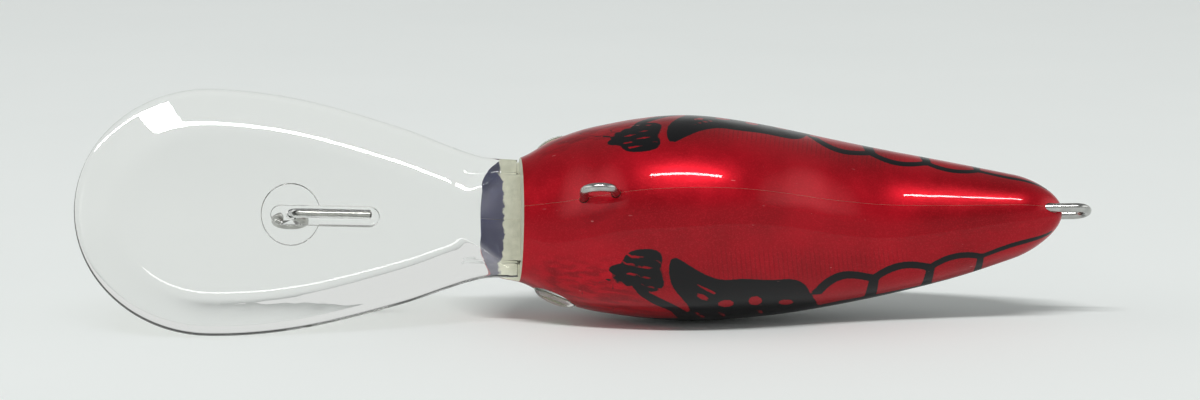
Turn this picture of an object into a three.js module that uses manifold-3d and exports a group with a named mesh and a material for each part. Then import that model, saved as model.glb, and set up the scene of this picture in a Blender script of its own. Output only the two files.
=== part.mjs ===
// A deep-diving crankbait lure, in millimetres, lying on its starboard flank as it does on a table.
//
// The lure's own frame: x = 0 at the nose tip and grows towards the tail, +y is starboard, +z is the back,
// and z = 0 runs from the middle of the neck to the tail eye. The lip has a frame of its own, with its
// origin at the neck, its x along the lip and its z out of the lip's upper face.

import * as THREE from 'three';
import { mergeVertices } from 'three/addons/utils/BufferGeometryUtils.js';
import Module from 'manifold-3d';

const wasm = await Module();
wasm.setup();

// ---------- driving dimensions ----------

const GAP = 0.3;
const BODY_LENGTH = 70;
const SHELL_WALL = 1.6;
const SEAM_HALF_GAP = GAP / 2;

// Side and plan profiles of the body: [x, value]
const HALF_WIDTH = [
  [0, 6.9], [5, 7.6], [9, 9.7], [14, 11.2], [24, 12.35],
  [33, 11.7], [43, 10.1], [56, 7.35], [65, 4.9], [70, 3.4],
];
const BACK_HEIGHT = [
  [0, 5.6], [5, 7.8], [12, 10.8], [24, 12.9], [35, 12.4], [46, 10.6], [56, 8.4], [65, 5.4], [70, 3.2],
];
const BELLY_DEPTH = [
  [0, 3], [5, 4.6], [10, 6.3], [14, 8.3], [19, 10.6], [25, 11.5], [31, 10.9], [36, 9], [42, 5.9], [48, 3.7],
  [54, 3], [60, 2.9], [66, 2.9], [70, 2.6],
];
const WIDEST_LEVEL = [[0, 0.8], [14, 0.6], [25, 0.9], [37, 2.9], [46, 3.6], [56, 3.3], [63, 2.2], [70, 0.3]];
const NOSE_ROUND = 3.5;
const NOSE_BLUNTNESS = 2.6;
const TAIL_ROUND = 6;
const TAIL_BLUNTNESS = 2.2;
const CHIN_FRONT = 5;
const BODY_STATIONS = 24;
const BODY_SIDES = 36;

const CAVITY_FRONT = 13.5;
const CAVITY_BACK = 66;
const CAVITY_ROUND = 4;
const CAVITY_BLUNTNESS = 2;
const CAVITY_STATIONS = 14;
const CAVITY_SIDES = 20;

const NECK_X = 3;
const LIP_PITCH = THREE.MathUtils.degToRad(7);
const LIP_LENGTH = 51;
const LIP_HALF_WIDTH = 15.3;
const LIP_WIDEST = 35;
const LIP_SIDE = [[24.6, 14.3], [12.6, 11.1], [3, 7.7]];
const LIP_NECK_HALF_WIDTH = 7.3;
const LIP_RIM = 1;
const LIP_CROWN = 0.75;
const LIP_CROWN_REACH = 4.5;
const LIP_CURVE_DIVISIONS = 7;
const LIP_BACK_EDGE = NECK_X - CHIN_FRONT + GAP;
const LIP_FACE = LIP_RIM / 2 + LIP_CROWN;
const TONGUE_HALF_WIDTH = 5.5;
const TONGUE_THICKNESS = 1.8;
const TONGUE_END = 10;
const LIP_PIN_AT = 6.9;
const LIP_PIN_RADIUS = 1.3;
const LIP_PIN_LENGTH = 8;

const WIRE_RADIUS = 0.52;
const TIE_BOSS_AT = 25.4;
const TIE_BOSS_LENGTH = 7.1;
const TIE_BOSS_WIDTH = 7.7;
const TIE_BOSS_HEIGHT = 0.5;
const TIE_RIB_END = 14.8;
const TIE_RIB_WIDTH = 2.4;
const TIE_RIB_HEIGHT = 0.9;
const TIE_EYE_RADIUS = 1.7;
const TIE_SHANK_LEVEL = 0.5;
const TIE_SHANK_COVER = 1.2;
const TIE_BEND = 1.2;
const TIE_SHOULDER_TURN = THREE.MathUtils.degToRad(70);
const TIE_EYE_END = THREE.MathUtils.degToRad(228);

const HANGER_LEG_SPACING = 3.75;
const HANGER_FOOT = 1.6;
const HANGER_BEND = 0.9;
const BELLY_HANGER_X = 14.65;
const BELLY_HANGER_CREST = 12.6;
const BELLY_HANGER_ROOT = 4.6;
const TAIL_HANGER_CREST = 73.5;
const TAIL_HANGER_ROOT = 61.5;
const TAIL_LEG_SPACING = 3.1;

const TUBE_FRONT = 19.5;
const TUBE_LENGTH = 23;
const TUBE_LEVEL = 4;
const TUBE_RADIUS = 3.6;
const TUBE_WALL = 0.8;
const END_DISC_THICKNESS = 0.8;
const RATTLE_BALL_RADIUS = 2.4;
const RATTLE_BALLS = 3;

const BALLAST_RADIUS = 4;
const BALLAST = [[25, -5.3], [33.6, -4.1]];
const CRADLE_LEVEL = -5.1;
const THROAT_WEIGHT_X = 17.6;
const THROAT_WEIGHT_LEVEL = -1.3;
const THROAT_WEIGHT_RADIUS = 2.2;
const THROAT_WEIGHT_LENGTH = 14;
const WEB_X = [22, 39.6];
const WEB_THICKNESS = 1.2;
const THROAT_BLOCK = { front: 10, behindWeight: 3.4, halfWidth: 4, top: 2.4 };
const TAIL_BLOCK = { beforeRoot: 1.8, halfWidth: 2.6 };
const DOWELS = [[20.2, 9], [48, 3.2], [56, 2]];
const DOWEL_RADIUS = 0.9;
const DOWEL_REACH = 1.5;
const DOWEL_BOSS_RADIUS = 2;

const EYE_X = 9;
const EYE_LEVEL = 2.2;
const EYE_TILT = THREE.MathUtils.degToRad(9);
const EYE_TURN = THREE.MathUtils.degToRad(22);
const EYE_RADIUS = 2.7;
const EYE_POCKET_DEPTH = 1.6;
const EYE_POCKET_REACH = 6;
const IRIS_THICKNESS = 0.4;
const EYE_DOME_HEIGHT = 1.2;
const EYE_DOME_RIM = 0.2;
const EYE_SUNK = 0.15;

// How the lure lies: rolled onto its starboard flank with the belly a little up, and its tail a little up,
// where the lip's edge and the flank both touch the table
const REST_ROLL = THREE.MathUtils.degToRad(26);
const REST_TILT = THREE.MathUtils.degToRad(0.7);

// Longer than the lure's half, for blocks that have to reach past it
const PAST_IT = 100;

// ---------- materials ----------

function finish(color, roughness, metalness) {
  return new THREE.MeshStandardMaterial({ color, roughness, metalness });
}

const redPaint = finish(0xa8121f, 0.2, 0.4);
const clearPlastic = finish(0xe4ebe4, 0.05, 0);
const steelWire = finish(0xa9aca8, 0.25, 1);
const steelBall = finish(0xb8b8ba, 0.15, 1);
const brass = finish(0xb08d45, 0.3, 1);
const milkyPlastic = finish(0xd9dcd2, 0.4, 0);
const irisFoil = finish(0xcfdca0, 0.35, 0.3);

// ---------- geometry helpers ----------

// A smooth curve through [x, value] points, as a function of x
function profile(points) {
  const slopeAt = (i) => {
    const before = points[Math.max(i - 1, 0)];
    const after = points[Math.min(i + 1, points.length - 1)];
    return (after[1] - before[1]) / (after[0] - before[0]);
  };
  return (x) => {
    const i = THREE.MathUtils.clamp(points.findIndex((p) => p[0] > x) - 1, 0, points.length - 2);
    const start = x >= points.at(-1)[0] ? points.length - 2 : i;
    const [x0, y0] = points[start];
    const [x1, y1] = points[start + 1];
    const span = x1 - x0;
    const t = (x - x0) / span;
    const bend0 = slopeAt(start) * span;
    const bend1 = slopeAt(start + 1) * span;
    const a = 2 * y0 - 2 * y1 + bend0 + bend1;
    const b = 3 * y1 - 3 * y0 - 2 * bend0 - bend1;
    return y0 + t * (bend0 + t * (b + t * a));
  };
}

const halfWidthAt = profile(HALF_WIDTH);
const backHeightAt = profile(BACK_HEIGHT);
const bellyDepthAt = profile(BELLY_DEPTH);
const widestLevelAt = profile(WIDEST_LEVEL);

// From 0 at an end to 1 a rounding length away, along a superellipse
function endRounding(distance, length, bluntness) {
  const t = THREE.MathUtils.clamp(1 - distance / length, 0, 1);
  return (1 - t ** bluntness) ** (1 / bluntness);
}

// A closed loft along x between two ends, inset from the body's own profiles
function bodyLoft({ from, to, inset, noseRound, noseBluntness, tailRound, tailBluntness, stations, sides }) {
  const positions = [];
  const triangles = [];
  const section = (x) => {
    const cap = Math.min(
      endRounding(x - from, noseRound, noseBluntness),
      endRounding(to - x, tailRound, tailBluntness),
    );
    return {
      halfWidth: (halfWidthAt(x) - inset) * cap,
      level: widestLevelAt(x),
      rise: (backHeightAt(x) - widestLevelAt(x) - inset) * cap,
      drop: (bellyDepthAt(x) + widestLevelAt(x) - inset) * cap,
    };
  };
  positions.push(from, 0, widestLevelAt(from));
  for (let i = 1; i < stations; i += 1) {
    const x = from + (to - from) * (1 - Math.cos((Math.PI * i) / stations)) / 2;
    const { halfWidth, level, rise, drop } = section(x);
    for (let j = 0; j < sides; j += 1) {
      const angle = (2 * Math.PI * j) / sides;
      const height = Math.sin(angle) > 0 ? rise : drop;
      positions.push(x, halfWidth * Math.cos(angle), level + height * Math.sin(angle));
    }
  }
  positions.push(to, 0, widestLevelAt(to));
  const last = positions.length / 3 - 1;
  const ring = (i, j) => 1 + (i - 1) * sides + (j % sides);
  for (let j = 0; j < sides; j += 1) {
    triangles.push(0, ring(1, j + 1), ring(1, j));
    for (let i = 1; i < stations - 1; i += 1) {
      triangles.push(ring(i, j), ring(i, j + 1), ring(i + 1, j));
      triangles.push(ring(i, j + 1), ring(i + 1, j + 1), ring(i + 1, j));
    }
    triangles.push(last, ring(stations - 1, j), ring(stations - 1, j + 1));
  }
  const geometry = new THREE.BufferGeometry();
  geometry.setAttribute('position', new THREE.Float32BufferAttribute(positions, 3));
  geometry.setIndex(triangles);
  return geometry;
}

function toSolid(geometry) {
  const bare = geometry.clone();
  bare.deleteAttribute('normal');
  bare.deleteAttribute('uv');
  const merged = mergeVertices(bare, 1e-4);
  return new wasm.Manifold(new wasm.Mesh({
    numProp: 3,
    vertProperties: new Float32Array(merged.attributes.position.array),
    triVerts: new Uint32Array(merged.index.array),
  }));
}

function toGeometry(solid) {
  const { vertProperties, triVerts } = solid.getMesh();
  const geometry = new THREE.BufferGeometry();
  geometry.setAttribute('position', new THREE.Float32BufferAttribute(vertProperties, 3));
  geometry.setIndex([...triVerts]);
  geometry.computeVertexNormals();
  return geometry;
}

const join = (solids) => solids.reduce((whole, solid) => whole.add(solid));

// A block between two corners
function block([x0, y0, z0], [x1, y1, z1]) {
  const geometry = new THREE.BoxGeometry(x1 - x0, y1 - y0, z1 - z0);
  return toSolid(geometry.translate((x0 + x1) / 2, (y0 + y1) / 2, (z0 + z1) / 2));
}

// A rod across the lure, along y, about the point (x, z)
function crossRod(x, z, radius, yFrom, yTo, sides = 16) {
  const geometry = new THREE.CylinderGeometry(radius, radius, yTo - yFrom, sides);
  return geometry.translate(x, (yFrom + yTo) / 2, z);
}

// A rod along the lure, along x, at a level
function lengthRod(xFrom, xTo, level, radius, sides = 20) {
  const geometry = new THREE.CylinderGeometry(radius, radius, xTo - xFrom, sides);
  return geometry.rotateZ(Math.PI / 2).translate((xFrom + xTo) / 2, 0, level);
}

// A flat path drawn in the lure's middle plane, as a curve in space
function curveInMiddlePlane(path, divisions) {
  const points = path.getSpacedPoints(divisions).map((p) => new THREE.Vector3(p.x, 0, p.y));
  return new THREE.CatmullRomCurve3(points, false, 'centripetal');
}

function roundTube(curve, radius, steps) {
  const circle = new THREE.Shape().absarc(0, 0, radius, 0, 2 * Math.PI);
  const sweep = { steps, curveSegments: 4, extrudePath: curve, bevelEnabled: false };
  return new THREE.ExtrudeGeometry(circle, sweep);
}

// ---------- the lip ----------

// Lip frame to lure frame
const LIP_PLACE = new THREE.Matrix4()
  .makeRotationY(-LIP_PITCH)
  .setPosition(NECK_X, 0, 0);

// The lip's outline seen square on: a straight back edge, two long swept sides and a rounded end
function lipOutline() {
  const outline = new THREE.Shape();
  const side = LIP_SIDE.map(([along, across]) => new THREE.Vector2(-along, across));
  const otherSide = side.map((p) => new THREE.Vector2(p.x, -p.y));
  outline.moveTo(-LIP_BACK_EDGE, LIP_NECK_HALF_WIDTH);
  outline.splineThru([...side].reverse().concat(new THREE.Vector2(-LIP_WIDEST, LIP_HALF_WIDTH)));
  const endLength = LIP_LENGTH - LIP_WIDEST;
  outline.absellipse(-LIP_WIDEST, 0, endLength, LIP_HALF_WIDTH, Math.PI / 2, 1.5 * Math.PI, false);
  outline.splineThru(otherSide.concat(new THREE.Vector2(-LIP_BACK_EDGE, -LIP_NECK_HALF_WIDTH)));
  const points = outline.getPoints(LIP_CURVE_DIVISIONS);
  return points.filter((p, i) => i === 0 || p.distanceTo(points[i - 1]) > 0.01);
}

// A point of the outline moved towards the lip's middle line
function movedInward(point, distance) {
  const middle = new THREE.Vector2(THREE.MathUtils.clamp(point.x, -LIP_WIDEST, -LIP_CROWN_REACH), 0);
  return point.clone().add(middle.sub(point).setLength(distance));
}

// The lip's plate: a thin rim all round, crowned on both faces up to a flat middle
function lipPlate() {
  const outline = lipOutline();
  const count = outline.length;
  const inwards = [1, 2 / 3, 1 / 3, 0];
  const below = inwards.map((inward) => [inward, -1]);
  const above = inwards.map((inward) => [inward, 1]).reverse();
  const layers = [...below, ...above];
  const positions = layers.flatMap(([inward, face]) => {
    const height = face * (LIP_RIM / 2 + LIP_CROWN * Math.sin((inward * Math.PI) / 2));
    return outline.flatMap((point) => {
      const moved = inward > 0 ? movedInward(point, inward * LIP_CROWN_REACH) : point;
      return [moved.x, moved.y, height];
    });
  });
  const triangles = [];
  for (let layer = 0; layer < layers.length - 1; layer += 1) {
    for (let i = 0; i < count; i += 1) {
      const here = layer * count + i;
      const next = layer * count + ((i + 1) % count);
      triangles.push(here, next, here + count, next, next + count, here + count);
    }
  }
  const flat = outline.map((point) => movedInward(point, LIP_CROWN_REACH));
  const top = (layers.length - 1) * count;
  THREE.ShapeUtils.triangulateShape(flat, []).forEach(([a, b, c]) => {
    triangles.push(c, b, a, top + a, top + b, top + c);
  });
  const geometry = new THREE.BufferGeometry();
  geometry.setAttribute('position', new THREE.Float32BufferAttribute(positions, 3));
  geometry.setIndex(triangles);
  return geometry;
}

// The line tie's path: a shank buried along the lip, a bend, and an eye that stands on the upper face
function lineTieCurve(clearance) {
  const stemX = -TIE_BOSS_AT;
  const turn = TIE_SHOULDER_TURN;
  const shoulderRadius = (TIE_EYE_RADIUS * Math.cos(turn)) / (1 - Math.cos(turn));
  const shoulderLevel = LIP_FACE + TIE_BOSS_HEIGHT;
  const eyeLevel = shoulderLevel + (TIE_EYE_RADIUS + shoulderRadius) * Math.sin(turn);
  const path = new THREE.Path();
  path.moveTo(-TIE_RIB_END - TIE_SHANK_COVER + clearance, TIE_SHANK_LEVEL);
  path.lineTo(stemX + TIE_BEND, TIE_SHANK_LEVEL);
  path.absarc(stemX + TIE_BEND, TIE_SHANK_LEVEL + TIE_BEND, TIE_BEND, -Math.PI / 2, Math.PI, true);
  path.absarc(stemX + shoulderRadius, shoulderLevel, shoulderRadius, Math.PI, Math.PI - turn, true);
  path.absarc(stemX, eyeLevel, TIE_EYE_RADIUS, -turn, TIE_EYE_END, false);
  return curveInMiddlePlane(path, 40);
}

function lineTie(clearance) {
  return roundTube(lineTieCurve(clearance), WIRE_RADIUS + clearance, 44);
}

// The pin that locks the lip's tongue between the two shells
function lipPin(clearance) {
  const radius = LIP_PIN_RADIUS + clearance;
  return new THREE.CylinderGeometry(radius, radius, LIP_PIN_LENGTH + 2 * clearance, 16)
    .rotateX(Math.PI / 2)
    .translate(LIP_PIN_AT, 0, 0);
}

function divingLip() {
  const tongue = block(
    [-LIP_CROWN_REACH, -TONGUE_HALF_WIDTH, -TONGUE_THICKNESS / 2],
    [TONGUE_END, TONGUE_HALF_WIDTH, TONGUE_THICKNESS / 2],
  );
  const boss = toSolid(
    new THREE.CylinderGeometry(1, 1, LIP_FACE + TIE_BOSS_HEIGHT, 24)
      .rotateX(Math.PI / 2)
      .scale(TIE_BOSS_LENGTH / 2, TIE_BOSS_WIDTH / 2, 1)
      .translate(-TIE_BOSS_AT, 0, (LIP_FACE + TIE_BOSS_HEIGHT) / 2),
  );
  const ribHalf = TIE_RIB_WIDTH / 2;
  const ribOutline = new THREE.Shape();
  ribOutline.absarc(-TIE_RIB_END - ribHalf, 0, ribHalf, -Math.PI / 2, Math.PI / 2, false);
  ribOutline.absarc(-TIE_BOSS_AT - ribHalf, 0, ribHalf, Math.PI / 2, 1.5 * Math.PI, false);
  const ribDepth = LIP_FACE + TIE_RIB_HEIGHT;
  const rib = toSolid(
    new THREE.ExtrudeGeometry(ribOutline, { depth: ribDepth, curveSegments: 4, bevelEnabled: false }),
  );
  const whole = join([toSolid(lipPlate()), tongue, boss, rib]);
  return toGeometry(whole.subtract(toSolid(lipPin(GAP))).subtract(toSolid(lineTie(GAP))));
}

// ---------- wire hangers ----------

// A U of wire in the middle plane, its crest at x = 0 and its legs towards -x. Each leg ends in a foot turned
// outwards, or, for a second leg without a foot, runs straight to the root
function hangerCurve({ legSpacing, depth, foot, secondFoot }) {
  const half = legSpacing / 2;
  const bend = HANGER_BEND;
  const root = -depth + bend;
  const path = new THREE.Path();
  path.moveTo(-depth, half + bend + foot);
  path.lineTo(-depth, half + bend);
  path.absarc(root, half + bend, bend, Math.PI, 1.5 * Math.PI, false);
  path.lineTo(-half, half);
  path.absarc(-half, 0, half, Math.PI / 2, -Math.PI / 2, true);
  path.lineTo(root, -half);
  if (secondFoot > 0) {
    path.absarc(root, -half - bend, bend, Math.PI / 2, Math.PI, false);
    path.lineTo(-depth, -half - bend - secondFoot);
  }
  return curveInMiddlePlane(path, 36);
}

function bellyHanger(clearance) {
  const curve = hangerCurve({
    legSpacing: HANGER_LEG_SPACING,
    depth: BELLY_HANGER_CREST - BELLY_HANGER_ROOT - WIRE_RADIUS,
    foot: HANGER_FOOT + clearance,
    secondFoot: HANGER_FOOT + clearance,
  });
  return roundTube(curve, WIRE_RADIUS + clearance, 40)
    .rotateY(Math.PI / 2)
    .translate(BELLY_HANGER_X, 0, -BELLY_HANGER_CREST + WIRE_RADIUS);
}

function tailHanger(clearance) {
  const curve = hangerCurve({
    legSpacing: TAIL_LEG_SPACING,
    depth: TAIL_HANGER_CREST - TAIL_HANGER_ROOT - WIRE_RADIUS,
    foot: HANGER_FOOT + clearance,
    secondFoot: 0,
  });
  return roundTube(curve, WIRE_RADIUS + clearance, 36).translate(TAIL_HANGER_CREST - WIRE_RADIUS, 0, 0);
}

// ---------- eyes ----------

// The eye's frame: its z leaves the flank, leaning towards the back and towards the nose
function eyePlace(side) {
  const out = new THREE.Vector3(
    -Math.sin(EYE_TURN),
    side * Math.cos(EYE_TURN) * Math.cos(EYE_TILT),
    Math.cos(EYE_TURN) * Math.sin(EYE_TILT),
  ).normalize();
  const turn = new THREE.Quaternion().setFromUnitVectors(new THREE.Vector3(0, 0, 1), out);
  const surface = new THREE.Vector3(EYE_X, side * (halfWidthAt(EYE_X) - EYE_SUNK), EYE_LEVEL);
  const floor = surface.clone().addScaledVector(out, -EYE_POCKET_DEPTH);
  return new THREE.Matrix4().compose(floor, turn, new THREE.Vector3(1, 1, 1));
}

function eyePocket(side) {
  return toSolid(
    new THREE.CylinderGeometry(EYE_RADIUS + GAP, EYE_RADIUS + GAP, EYE_POCKET_REACH, 24)
      .rotateX(Math.PI / 2)
      .translate(0, 0, EYE_POCKET_REACH / 2)
      .applyMatrix4(eyePlace(side)),
  );
}

function irisDisc() {
  return new THREE.CylinderGeometry(EYE_RADIUS, EYE_RADIUS, IRIS_THICKNESS, 24)
    .rotateX(Math.PI / 2)
    .translate(0, 0, GAP + IRIS_THICKNESS / 2);
}

function eyeDome() {
  const base = 2 * GAP + IRIS_THICKNESS;
  const points = [new THREE.Vector2(0, base), new THREE.Vector2(EYE_RADIUS, base)];
  const arcs = 5;
  for (let i = 0; i <= arcs; i += 1) {
    const angle = (Math.PI / 2) * (i / arcs);
    points.push(new THREE.Vector2(
      EYE_RADIUS * Math.cos(angle),
      base + EYE_DOME_RIM + (EYE_DOME_HEIGHT - EYE_DOME_RIM) * Math.sin(angle),
    ));
  }
  points.at(-1).x = 0;
  return new THREE.LatheGeometry(points, 24).rotateX(Math.PI / 2);
}

// ---------- what the body carries inside ----------

function rattleTube() {
  const inner = TUBE_RADIUS - TUBE_WALL;
  const half = TUBE_LENGTH / 2;
  const wall = [
    new THREE.Vector2(inner, -half),
    new THREE.Vector2(TUBE_RADIUS, -half),
    new THREE.Vector2(TUBE_RADIUS, half),
    new THREE.Vector2(inner, half),
    new THREE.Vector2(inner, -half),
  ];
  return new THREE.LatheGeometry(wall, 20).rotateZ(Math.PI / 2).translate(TUBE_FRONT + half, 0, TUBE_LEVEL);
}

function endDisc(front) {
  return lengthRod(front, front + END_DISC_THICKNESS, TUBE_LEVEL, TUBE_RADIUS - TUBE_WALL - GAP);
}

function rattleBall(order) {
  const first = TUBE_FRONT + END_DISC_THICKNESS + GAP + RATTLE_BALL_RADIUS;
  const spacing = 2 * RATTLE_BALL_RADIUS + GAP;
  const ball = new THREE.IcosahedronGeometry(RATTLE_BALL_RADIUS, 2);
  return ball.translate(first + order * spacing, 0, TUBE_LEVEL);
}

function ballastBall([x, level]) {
  return new THREE.IcosahedronGeometry(BALLAST_RADIUS, 2).translate(x, 0, level);
}

// The seat of a ballast ball, coarser than the ball and so with twice the gap round it
function ballastSeat([x, level]) {
  return toSolid(new THREE.IcosahedronGeometry(BALLAST_RADIUS + 2 * GAP, 1).translate(x, 0, level));
}

function throatWeight(radius, length) {
  return crossRod(THROAT_WEIGHT_X, THROAT_WEIGHT_LEVEL, radius, -length / 2, length / 2);
}

// ---------- the two body shells ----------

function outerBody() {
  return toSolid(bodyLoft({
    from: 0,
    to: BODY_LENGTH,
    inset: 0,
    noseRound: NOSE_ROUND,
    noseBluntness: NOSE_BLUNTNESS,
    tailRound: TAIL_ROUND,
    tailBluntness: TAIL_BLUNTNESS,
    stations: BODY_STATIONS,
    sides: BODY_SIDES,
  }));
}

function cavity() {
  return toSolid(bodyLoft({
    from: CAVITY_FRONT,
    to: CAVITY_BACK,
    inset: SHELL_WALL,
    noseRound: CAVITY_ROUND,
    noseBluntness: CAVITY_BLUNTNESS,
    tailRound: CAVITY_ROUND,
    tailBluntness: CAVITY_BLUNTNESS,
    stations: CAVITY_STATIONS,
    sides: CAVITY_SIDES,
  }));
}

// What stands inside the cavity: webs round the rattle tube, the ballast cradle, and blocks that grip the wires
function innerWebs() {
  const wide = PAST_IT;
  const webs = WEB_X.map((x) => block([x, -wide, -wide], [x + WEB_THICKNESS, wide, wide]));
  const cradle = block([WEB_X[0], -wide, -wide], [WEB_X[1] + WEB_THICKNESS, wide, CRADLE_LEVEL]);
  const throatBlock = block(
    [THROAT_BLOCK.front, -THROAT_BLOCK.halfWidth, -wide],
    [THROAT_WEIGHT_X + THROAT_BLOCK.behindWeight, THROAT_BLOCK.halfWidth, THROAT_BLOCK.top],
  );
  const tailBlock = block(
    [TAIL_HANGER_ROOT - TAIL_BLOCK.beforeRoot, -TAIL_BLOCK.halfWidth, -wide],
    [BODY_LENGTH, TAIL_BLOCK.halfWidth, wide],
  );
  const dowelBosses = DOWELS.map(([x, z]) => toSolid(crossRod(x, z, DOWEL_BOSS_RADIUS, -wide, wide)));
  return join([...webs, cradle, throatBlock, tailBlock, ...dowelBosses]);
}

// The slot for the lip's tongue, its pin's hole, and the open notch below the snout where the lip leaves it
function lipSlot() {
  const slot = block(
    [-LIP_CROWN_REACH, -TONGUE_HALF_WIDTH - GAP, -TONGUE_THICKNESS / 2 - GAP],
    [TONGUE_END + GAP, TONGUE_HALF_WIDTH + GAP, TONGUE_THICKNESS / 2 + GAP],
  );
  const notch = block([-PAST_IT, -PAST_IT, -PAST_IT], [CHIN_FRONT - NECK_X, PAST_IT, LIP_FACE + GAP]);
  return join([slot, notch, toSolid(lipPin(GAP))]).transform(LIP_PLACE.elements);
}

function bodySolid() {
  const hollow = cavity().subtract(innerWebs());
  const cuts = [
    hollow,
    lipSlot(),
    eyePocket(1),
    eyePocket(-1),
    toSolid(bellyHanger(GAP)),
    toSolid(tailHanger(GAP)),
    toSolid(lengthRod(TUBE_FRONT - GAP, TUBE_FRONT + TUBE_LENGTH + GAP, TUBE_LEVEL, TUBE_RADIUS + GAP)),
    toSolid(throatWeight(THROAT_WEIGHT_RADIUS + GAP, THROAT_WEIGHT_LENGTH + 2 * GAP)),
    ...BALLAST.map(ballastSeat),
  ];
  return cuts.reduce((body, cut) => body.subtract(cut), outerBody());
}

function bodyShells() {
  const body = bodySolid();
  const far = PAST_IT;
  const root = -DOWEL_BOSS_RADIUS;
  const portSide = block([-far, -far, -far], [far, -SEAM_HALF_GAP, far]);
  const starboardSide = block([-far, SEAM_HALF_GAP, -far], [far, far, far]);
  const pins = DOWELS.map(([x, z]) => toSolid(crossRod(x, z, DOWEL_RADIUS, root, DOWEL_REACH, 12)));
  const holes = DOWELS.map(([x, z]) => (
    toSolid(crossRod(x, z, DOWEL_RADIUS + GAP, root, DOWEL_REACH + GAP, 12))
  ));
  return {
    port: toGeometry(join([body.intersect(portSide), ...pins])),
    starboard: toGeometry(body.intersect(starboardSide).subtract(join(holes))),
  };
}

// ---------- assembly ----------

function piece(name, geometry, material) {
  const mesh = new THREE.Mesh(geometry, material);
  mesh.name = name;
  return mesh;
}

function lipAssembly() {
  const lip = new THREE.Group();
  lip.applyMatrix4(LIP_PLACE);
  lip.add(piece('diving_lip', divingLip(), clearPlastic));
  lip.add(piece('line_tie', lineTie(0), steelWire));
  lip.add(piece('lip_pin', lipPin(0), steelWire));
  return lip;
}

function eyeAssembly(sideName, side) {
  const eye = new THREE.Group();
  eye.applyMatrix4(eyePlace(side));
  eye.add(piece(`eye_iris_${sideName}`, irisDisc(), irisFoil));
  eye.add(piece(`eye_dome_${sideName}`, eyeDome(), clearPlastic));
  return eye;
}

function rattleAssembly() {
  const rattle = new THREE.Group();
  rattle.add(piece('rattle_tube', rattleTube(), milkyPlastic));
  rattle.add(piece('rattle_end_disc_front', endDisc(TUBE_FRONT), brass));
  rattle.add(piece('rattle_end_disc_rear', endDisc(TUBE_FRONT + TUBE_LENGTH - END_DISC_THICKNESS), brass));
  for (let i = 0; i < RATTLE_BALLS; i += 1) {
    rattle.add(piece(`rattle_ball_${i + 1}`, rattleBall(i), steelBall));
  }
  return rattle;
}

function ballastAssembly() {
  const ballast = new THREE.Group();
  ballast.add(piece('throat_weight', throatWeight(THROAT_WEIGHT_RADIUS, THROAT_WEIGHT_LENGTH), brass));
  ballast.add(piece('ballast_ball_front', ballastBall(BALLAST[0]), steelBall));
  ballast.add(piece('ballast_ball_rear', ballastBall(BALLAST[1]), steelBall));
  return ballast;
}

function crankbait() {
  const lure = new THREE.Group();
  const shells = bodyShells();
  lure.add(piece('body_shell_port', shells.port, redPaint));
  lure.add(piece('body_shell_starboard', shells.starboard, redPaint));
  lure.add(lipAssembly());
  lure.add(piece('belly_hook_hanger', bellyHanger(0), steelWire));
  lure.add(piece('tail_hook_hanger', tailHanger(0), steelWire));
  lure.add(eyeAssembly('port', -1), eyeAssembly('starboard', 1));
  lure.add(rattleAssembly());
  lure.add(ballastAssembly());
  return lure;
}

// Lays the lure down and brings the origin to the middle of its footprint, at the table
function laidDown(lure) {
  lure.rotation.set(-(Math.PI / 2 + REST_ROLL), -REST_TILT, 0, 'YXZ');
  const object = new THREE.Group();
  object.add(lure);
  object.updateMatrixWorld(true);
  const box = new THREE.Box3().setFromObject(object, true);
  const centre = box.getCenter(new THREE.Vector3());
  lure.position.set(-centre.x, -centre.y, -box.min.z);
  return object;
}

export default laidDown(crankbait());
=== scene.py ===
"""The looks of a deep-diving crankbait lure, with a plain floor, soft light and a camera."""
import math

import bmesh
import bpy
import numpy as np
from mathutils import Matrix, Vector


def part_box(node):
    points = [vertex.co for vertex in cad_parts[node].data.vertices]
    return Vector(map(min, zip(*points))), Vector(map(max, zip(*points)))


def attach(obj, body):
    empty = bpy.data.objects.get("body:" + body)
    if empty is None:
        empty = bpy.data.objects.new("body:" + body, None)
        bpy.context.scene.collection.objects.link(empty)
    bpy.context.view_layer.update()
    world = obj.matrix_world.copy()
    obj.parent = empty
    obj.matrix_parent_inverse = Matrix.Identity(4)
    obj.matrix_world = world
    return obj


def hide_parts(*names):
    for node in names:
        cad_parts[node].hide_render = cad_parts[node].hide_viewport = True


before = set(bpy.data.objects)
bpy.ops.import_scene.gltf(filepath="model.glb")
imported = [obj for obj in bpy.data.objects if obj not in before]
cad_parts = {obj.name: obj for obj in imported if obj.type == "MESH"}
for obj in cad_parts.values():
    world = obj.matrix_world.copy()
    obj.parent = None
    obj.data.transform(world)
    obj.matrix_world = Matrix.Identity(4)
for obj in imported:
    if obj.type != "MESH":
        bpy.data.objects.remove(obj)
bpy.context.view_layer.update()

# ---------- driving dimensions, in millimetres ----------
# The lure's own frame: x grows from the nose tip to the tail, +y is starboard and +z is the back.

MM = 0.001
BODY = "lure"

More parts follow.
